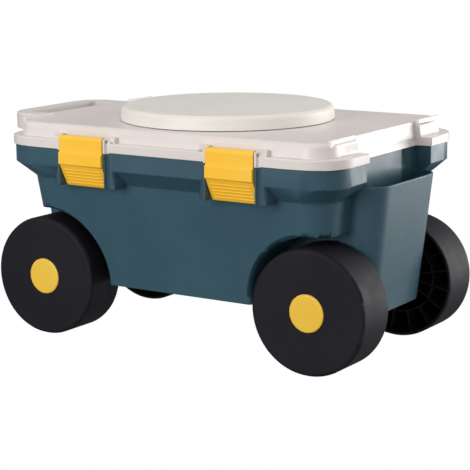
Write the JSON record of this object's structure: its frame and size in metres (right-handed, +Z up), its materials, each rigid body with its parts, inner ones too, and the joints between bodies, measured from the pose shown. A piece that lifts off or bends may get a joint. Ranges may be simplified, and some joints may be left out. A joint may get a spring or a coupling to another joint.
{
  "type": "rolling tool box",
  "caption": "Low rolling tool box on wide wheels, with a hinged latched lid, a carrying handle, a round swivel seat on the lid and open pockets on its ends.",
  "frame": {"origin": "bottom centre of the whole object, on the ground under the wheels", "axes": "+X towards the end without the handle, -Y towards the side with the latches, +Z up"},
  "size_m": [0.597, 0.3648, 0.311],
  "materials": {
    "tub_plastic": "satin moulded",
    "lid_plastic": "satin moulded",
    "seat_plastic": "fine grained",
    "latch_plastic": "semi gloss",
    "wheel_plastic": "satin moulded",
    "cap_plastic": "semi gloss",
    "glide_plastic": "smooth",
    "steel": "zinc plated"
  },
  "bodies": {
    "chassis": {"tub": "tub_plastic", "axle_front": "steel", "axle_rear": "steel", "push_nuts": "steel", "thrust_washers": "steel", "lid_hinge_pin_front": "steel", "lid_hinge_pin_rear": "steel"},
    "lid": {"lid": "lid_plastic", "latch_pin_front": "steel", "latch_pin_rear": "steel", "seat_glide_ring": "glide_plastic", "seat_pivot_washer": "steel"},
    "seat": {"seat": "seat_plastic", "seat_pivot_screw": "steel"},
    "latch_front": {"latch_front": "latch_plastic"},
    "latch_rear": {"latch_rear": "latch_plastic"},
    "wheel_front_left": {"wheel_front_left": "wheel_plastic", "hub_cap_front_left": "cap_plastic"},
    "wheel_front_right": {"wheel_front_right": "wheel_plastic", "hub_cap_front_right": "cap_plastic"},
    "wheel_rear_left": {"wheel_rear_left": "wheel_plastic", "hub_cap_rear_left": "cap_plastic"},
    "wheel_rear_right": {"wheel_rear_right": "wheel_plastic", "hub_cap_rear_right": "cap_plastic"}
  },
  "joints": [
    {"name": "lid_hinge", "type": "hinge", "parent": "chassis", "child": "lid", "pos_m": [0.0135, 0.1778, 0.261], "axis": [-1, 0, 0], "range_deg": [0, 95]},
    {"name": "seat_swivel", "type": "hinge", "parent": "lid", "child": "seat", "pos_m": [0.009, 0, 0.3], "axis": [0, 0, 1], "continuous": true},
    {"name": "latch_front_hinge", "type": "hinge", "parent": "lid", "child": "latch_front", "pos_m": [0.1275, -0.175, 0.274], "axis": [-1, 0, 0], "range_deg": [0, 120]},
    {"name": "latch_rear_hinge", "type": "hinge", "parent": "lid", "child": "latch_rear", "pos_m": [-0.1005, -0.175, 0.274], "axis": [-1, 0, 0], "range_deg": [0, 120]},
    {"name": "wheel_front_left_spin", "type": "hinge", "parent": "chassis", "child": "wheel_front_left", "pos_m": [0.2185, 0.118, 0.08], "axis": [0, 1, 0], "continuous": true},
    {"name": "wheel_front_right_spin", "type": "hinge", "parent": "chassis", "child": "wheel_front_right", "pos_m": [0.2185, -0.118, 0.08], "axis": [0, 1, 0], "continuous": true},
    {"name": "wheel_rear_left_spin", "type": "hinge", "parent": "chassis", "child": "wheel_rear_left", "pos_m": [-0.1915, 0.118, 0.08], "axis": [0, 1, 0], "continuous": true},
    {"name": "wheel_rear_right_spin", "type": "hinge", "parent": "chassis", "child": "wheel_rear_right", "pos_m": [-0.1915, -0.118, 0.08], "axis": [0, 1, 0], "continuous": true}
  ]
}
